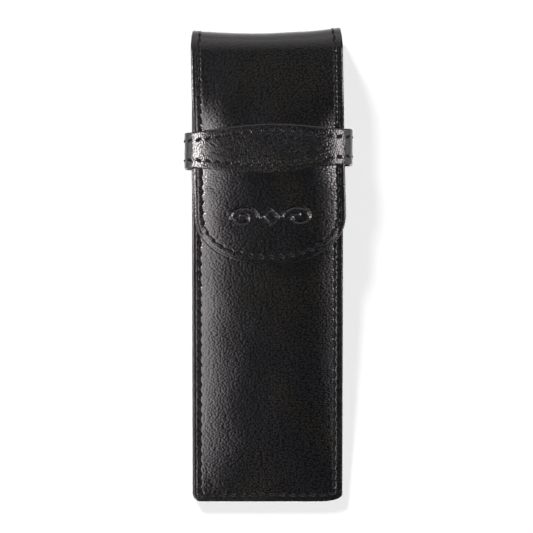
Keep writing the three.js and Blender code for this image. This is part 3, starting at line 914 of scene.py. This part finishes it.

# What each piece stands for, and the body it is attached to or the fold it is listed with; pieces listed
# with a fold only have their transforms baked in

BACK_FOLD = (
    "case",
    "flap_top",
    Vector((0, BACK_Y, 0)) * MM,
    Vector((0, BACK_Y + BACK_RADIUS, BACK_RADIUS)) * MM,
)
FRONT_FOLD = (
    "flap_top",
    "flap",
    Vector((0, FRONT_Y + FRONT_RADIUS, FRONT_ARC_Z)) * MM,
    Vector((0, FRONT_Y, FLAP_TOP_Z)) * MM,
)
for item, place, nodes, slot in (
    (front_panel, "case", ["front_panel"], "outer_leather"),
    (front_lining, "case", ["front_lining"], "lining_leather"),
    (seam_stitches, "case", ["seam_thread_front"], "thread"),
    (mouth_stitches, "case", ["mouth_thread"], "thread"),
    (gusset_left, "case", ["gusset_left"], "outer_leather"),
    (gusset_right, "case", ["gusset_right"], "outer_leather"),
    (divider_skin, "case", ["pen_divider"], "outer_leather"),
    (divider_stitches, "case", ["divider_thread"], "thread"),
    (strap_skin, "case", ["keeper_strap"], "outer_leather"),
    (strap_lining, "case", ["keeper_lining"], "lining_leather"),
    (strap_stitches, "case", ["keeper_thread_upper", "keeper_thread_lower"], "thread"),
    (back_panel, BACK_FOLD, ["back_panel", "flap_top_leather"], "outer_leather"),
    (back_lining, BACK_FOLD, ["back_lining", "flap_top_lining"], "lining_leather"),
    (
        back_stitches,
        BACK_FOLD,
        ["seam_thread_back", "flap_top_thread_left", "flap_top_thread_right"],
        "thread",
    ),
    (flap_skin, FRONT_FOLD, ["flap_leather"], "outer_leather"),
    (flap_lining, FRONT_FOLD, ["flap_lining"], "lining_leather"),
    (flap_stitches, FRONT_FOLD, ["flap_thread"], "thread"),
    (flap_stitches_inner, FRONT_FOLD, ["flap_thread_inner"], "thread"),
):
    if isinstance(place, str):
        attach(item, place)
    else:
        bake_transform(item)
    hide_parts(*nodes)


# Materials

class Nodes:
    """A small helper that adds and links the nodes of one material."""

    def __init__(self, name):
        self.material = bpy.data.materials.new(name)
        self.material.use_nodes = True
        self.tree = self.material.node_tree
        self.shader = self.tree.nodes["Principled BSDF"]

    def add(self, kind, inputs=(), **settings):
        node = self.tree.nodes.new("ShaderNode" + kind)
        for key, value in settings.items():
            setattr(node, key, value)
        for key, value in dict(inputs).items():
            if isinstance(value, bpy.types.NodeSocket):
                self.tree.links.new(value, node.inputs[key])
            else:
                node.inputs[key].default_value = value
        return node

    def math(self, operation, a, b=0.0):
        return self.add("Math", {0: a, 1: b}, operation=operation).outputs[0]

    def mix(self, factor, a, b):
        node = self.add("Mix", {"Factor": factor}, data_type="RGBA")
        for key, value in ((6, a), (7, b)):
            if isinstance(value, bpy.types.NodeSocket):
                self.tree.links.new(value, node.inputs[key])
            else:
                node.inputs[key].default_value = (*value, 1)
        return node.outputs[2]

    def ramp(self, value, low, high, to_low=0.0, to_high=1.0):
        inputs = {"Value": value, "From Min": low, "From Max": high, "To Min": to_low, "To Max": to_high}
        return self.add("MapRange", inputs, interpolation_type="SMOOTHSTEP").outputs[0]

    def noise(self, vector, scale, detail=3.0, roughness=0.5):
        inputs = {"Vector": vector, "Scale": scale, "Detail": detail, "Roughness": roughness}
        return self.add("TexNoise", inputs)

    def bump(self, height, distance):
        return self.add("Bump", {"Height": height, "Distance": distance, "Strength": 1.0}).outputs[0]

    def flat(self):
        return self.add("Attribute", attribute_name="flat").outputs["Vector"]

    def feed(self, name, socket):
        self.tree.links.new(socket, self.shader.inputs[name])

    def fix(self, **values):
        for name, value in values.items():
            self.shader.inputs[name.replace("_", " ")].default_value = value


def leather_material(name, cool, warm, roughness, grain=1.0, stretch=(0.75, 1.15, 1.0)):
    """Grained leather: pebbles with painted shade in the hollows between them, painted shade along the
    crease and in the stitch slits, and an edge-painted rim that has begun to wear.
    """
    m = Nodes(name)
    flat = m.flat()
    wander = m.noise(flat, 0.9, 2.0).outputs["Color"]
    offset = m.add("VectorMath", {0: wander, 1: (0.5, 0.5, 0.5)}, operation="SUBTRACT").outputs[0]
    bend = {0: offset, 1: (0.45, 0.45, 0.45), 2: flat}
    warped = m.add("VectorMath", bend, operation="MULTIPLY_ADD").outputs[0]
    drawn = m.add("VectorMath", {0: warped, 1: stretch}, operation="MULTIPLY").outputs[0]
    pebble = m.add(
        "TexVoronoi",
        {"Vector": drawn, "Scale": 1.45, "Smoothness": 0.3, "Randomness": 1.0},
        feature="SMOOTH_F1",
        voronoi_dimensions="2D",
    ).outputs["Distance"]
    domes = m.math("SUBTRACT", 1.0, pebble)
    fine = m.noise(drawn, 2.2, 2.0, 0.5).outputs["Fac"]
    patch = m.noise(flat, 0.045, 2.0).outputs["Fac"]
    height = m.math("ADD", domes, m.math("MULTIPLY", fine, 0.5))
    m.feed("Normal", m.bump(height, 0.000044 * grain))
    edge = m.add("Attribute", attribute_name="edge").outputs["Fac"]
    pit = m.add("Attribute", attribute_name="pit").outputs["Fac"]
    rim_share = m.ramp(edge, 0.05, 0.5, 1.0, 0.0)
    scuffs = m.ramp(m.noise(flat, 0.55, 4.0).outputs["Fac"], 0.5, 0.72)
    worn = m.math("MULTIPLY", m.math("MULTIPLY", rim_share, scuffs), 0.4)
    base = m.mix(m.ramp(patch, 0.4, 0.6), cool, warm)
    # Painted shade: the hollows between the pebbles are darkened towards black.
    valley_painted_shade = m.mix(m.ramp(height, 0.7, 1.08), tuple(0.08 * c for c in cool), base)
    painted = m.mix(m.math("MULTIPLY", rim_share, 0.55), valley_painted_shade, (0.009, 0.008, 0.0075))
    edged = m.mix(worn, painted, (0.04, 0.029, 0.022))
    # Painted shade: a dark line coloured along the crease.
    from_crease = m.math("ABSOLUTE", m.math("SUBTRACT", edge, CREASE))
    creased = m.mix(m.ramp(from_crease, 0.04, 0.24, 0.85, 0.0), edged, (0.0015, 0.0014, 0.0014))
    # Painted shade: the stitch slits are coloured near black.
    m.feed("Base Color", m.mix(m.ramp(pit, 0.03, 0.15), creased, (0.001, 0.001, 0.001)))
    polish = m.ramp(domes, 0.4, 0.85, roughness + 0.02, roughness)
    rough = m.math("ADD", polish, m.ramp(patch, 0.3, 0.7, -0.004, 0.006))
    dull = m.math("ADD", rough, m.ramp(pit, 0.01, 0.1, 0.0, 0.83))
    m.feed("Roughness", m.math("SUBTRACT", dull, m.math("MULTIPLY", rim_share, 0.04)))
    m.fix(Sheen_Weight=0.3, Sheen_Roughness=0.25)
    return m.material


def lining_material(name, dark, light):
    """Split leather lining: a short brushed nap with faint streaks."""
    m = Nodes(name)
    flat = m.flat()
    stretched = m.add("VectorMath", {0: flat, 1: (1.0, 0.35, 1.0)}, operation="MULTIPLY").outputs[0]
    nap = m.noise(stretched, 4.5, 4.0, 0.65).outputs["Fac"]
    patch = m.noise(flat, 0.12, 3.0).outputs["Fac"]
    shade = m.math("ADD", m.math("MULTIPLY", nap, 0.5), m.math("MULTIPLY", patch, 0.6))
    m.feed("Base Color", m.mix(m.ramp(shade, 0.35, 0.8), dark, light))
    m.feed("Roughness", m.ramp(nap, 0.3, 0.7, 0.96, 0.84))
    m.feed("Normal", m.bump(nap, 0.00004))
    m.fix(Sheen_Weight=0.25, Sheen_Roughness=0.5)
    return m.material


def thread_material(name, dark, light):
    """Waxed thread: fine fibres along the twist."""
    m = Nodes(name)
    flat = m.flat()
    stretched = m.add("VectorMath", {0: flat, 1: (1.2, 3.0, 1.0)}, operation="MULTIPLY").outputs[0]
    fibres = m.noise(stretched, 3.0, 4.0, 0.6).outputs["Fac"]
    m.feed("Base Color", m.mix(m.ramp(fibres, 0.3, 0.7), dark, light))
    m.feed("Roughness", m.ramp(fibres, 0.3, 0.7, 0.6, 0.48))
    m.feed("Normal", m.bump(fibres, 0.00002))
    m.fix(Specular_IOR_Level=0.08)
    return m.material


def board_material(name):
    m = Nodes(name)
    place = m.add("TexCoord").outputs["Object"]
    fibres = m.noise(place, 900.0, 5.0, 0.7).outputs["Fac"]
    specks = m.noise(place, 260.0, 2.0).outputs["Fac"]
    base = m.mix(m.ramp(fibres, 0.3, 0.7), (0.10, 0.085, 0.066), (0.17, 0.145, 0.115))
    m.feed("Base Color", m.mix(m.ramp(specks, 0.62, 0.75), base, (0.06, 0.05, 0.04)))
    m.feed("Roughness", m.ramp(fibres, 0.3, 0.7, 0.98, 0.88))
    m.feed("Normal", m.bump(fibres, 0.00005))
    return m.material


COOL_BLACK, WARM_BLACK = (0.0104, 0.0100, 0.0130), (0.0128, 0.0118, 0.0098)
outer = leather_material("black_grained_leather", COOL_BLACK, WARM_BLACK, 0.17)
keeper = leather_material(
    "black_keeper_leather", COOL_BLACK, WARM_BLACK, 0.17, grain=1.25, stretch=(1.25, 0.8, 1.0)
)
lining = lining_material("black_lining_leather", (0.012, 0.0115, 0.011), (0.028, 0.026, 0.024))
thread = thread_material("waxed_thread", (0.005, 0.0048, 0.005), (0.011, 0.0105, 0.0105))
board = board_material("grey_board")
for material, items in (
    (outer, [front_panel, back_panel, flap_skin, gusset_left, gusset_right, divider_skin]),
    (keeper, [strap_skin]),
    (lining, [front_lining, back_lining, flap_lining, strap_lining]),
    (thread, [seam_stitches, mouth_stitches, back_stitches, divider_stitches]),
    (thread, [strap_stitches, flap_stitches, flap_stitches_inner]),
    (board, [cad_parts["back_board"]]),
):
    for item in items:
        item.data.materials.clear()
        item.data.materials.append(material)


# Floor, lights and camera

PAPER = 0.9  # how light the floor's paper is


def floor():
    mesh = bpy.data.meshes.new("floor")
    size = 3.0
    corners = [(-size, -size, 0), (size, -size, 0), (size, size, 0), (-size, size, 0)]
    mesh.from_pydata(corners, [], [(0, 1, 2, 3)])
    item = bpy.data.objects.new("floor", mesh)
    bpy.context.scene.collection.objects.link(item)
    item.location.z = -0.00002
    m = Nodes("paper")
    m.shader.inputs["Base Color"].default_value = (PAPER, PAPER, PAPER, 1)
    m.fix(Roughness=1.0, Specular_IOR_Level=0.0)
    mesh.materials.append(m.material)


def lamp(name, kind, place, strength, glossy=True, diffuse=True, **settings):
    data = bpy.data.lights.new(name, kind)
    data.energy = strength
    for key, value in settings.items():
        setattr(data, key, value)
    item = bpy.data.objects.new(name, data)
    item.location = place
    item.rotation_mode = "QUATERNION"
    item.rotation_quaternion = Vector(place).to_track_quat("Z", "Y")
    item.visible_glossy, item.visible_diffuse = glossy, diffuse
    item.visible_camera = False
    bpy.context.scene.collection.objects.link(item)
    return item


def wall_lamp(name, azimuth, low, high, radiance, width=0.6, shift=-0.225):
    """A panel seen only in reflections, that fills a band of elevations on one side.

    The side panels are moved along the case by the shift, most of them towards its foot, so that its
    top stays darker. The narrow main ones face the keeper.
    """
    a, e = math.radians(azimuth), math.radians((low + high) / 2)
    distance = 0.7
    height = 2 * distance * math.tan(math.radians(high - low) / 2)
    place = Vector((math.sin(a) * math.cos(e), math.cos(a) * math.cos(e), math.sin(e))) * distance
    energy = 4 * radiance * width * height
    settings = {"shape": "RECTANGLE", "size": width, "size_y": height, "color": (1.0, 0.94, 0.955)}
    item = lamp(name, "AREA", place, energy, diffuse=False, **settings)
    item.location.y += abs(math.sin(a)) * shift


floor()
FLOOR_LEVEL = 1.06  # how bright the floor looks in full light
KEY_SHARE = 0.225  # the part of that light that the case keeps off the floor as its shadow
AMBIENT = 0.045
KEY_FROM = (-0.379, 0.758, 0.53)
key_strength = FLOOR_LEVEL * KEY_SHARE / PAPER * math.pi / KEY_FROM[2]
overhead_strength = (FLOOR_LEVEL * (1 - KEY_SHARE) / PAPER - AMBIENT) * math.pi
lamp("key", "SUN", KEY_FROM, key_strength, glossy=False, angle=math.radians(10))
lamp("overhead", "SUN", (0, 0, 1), overhead_strength, glossy=False, angle=math.radians(4))
for facts in (
    ("left_low", -90, 2, 30, 2.2, 0.9),
    ("left_main", -90, 40, 60, 42.0, 0.11, 0.065),
    ("left_high", -90, 58, 71, 5.5),
    ("left_top", -90, 71, 77.5, 2.9),
    ("left_crest", -90, 77.5, 82, 0.5),
    ("right_low", 90, 2, 30, 1.6, 0.9),
    ("right_main", 90, 42, 62, 14.0, 0.17, 0.07),
    ("right_high", 90, 62, 68, 1.5),
    ("far_low", 0, 2, 22, 1.2, 1.1),
    ("far_middle", 0, 22, 45, 0.85, 0.9),
    ("far_high", 0, 45, 66, 0.5, 0.7),
    ("far_top", 0, 66, 78, 0.22),
):
    wall_lamp(*facts)

world = bpy.data.worlds.new("room")
world.use_nodes = True
background = world.node_tree.nodes["Background"]
background.inputs["Color"].default_value = (1, 1, 1, 1)
background.inputs["Strength"].default_value = AMBIENT
bpy.context.scene.world = world
bpy.context.scene.view_settings.view_transform = "Standard"

camera_data = bpy.data.cameras.new("camera")
camera_data.sensor_width = 36
CAMERA_HEIGHT, VIEW_WIDTH = 0.9, 0.1807
camera_data.lens = camera_data.sensor_width * CAMERA_HEIGHT / VIEW_WIDTH
camera = bpy.data.objects.new("camera", camera_data)
camera.location = (-0.00034, -0.0005, CAMERA_HEIGHT)
camera_data.clip_start, camera_data.clip_end = 0.05, 20
bpy.context.scene.collection.objects.link(camera)
bpy.context.scene.camera = camera
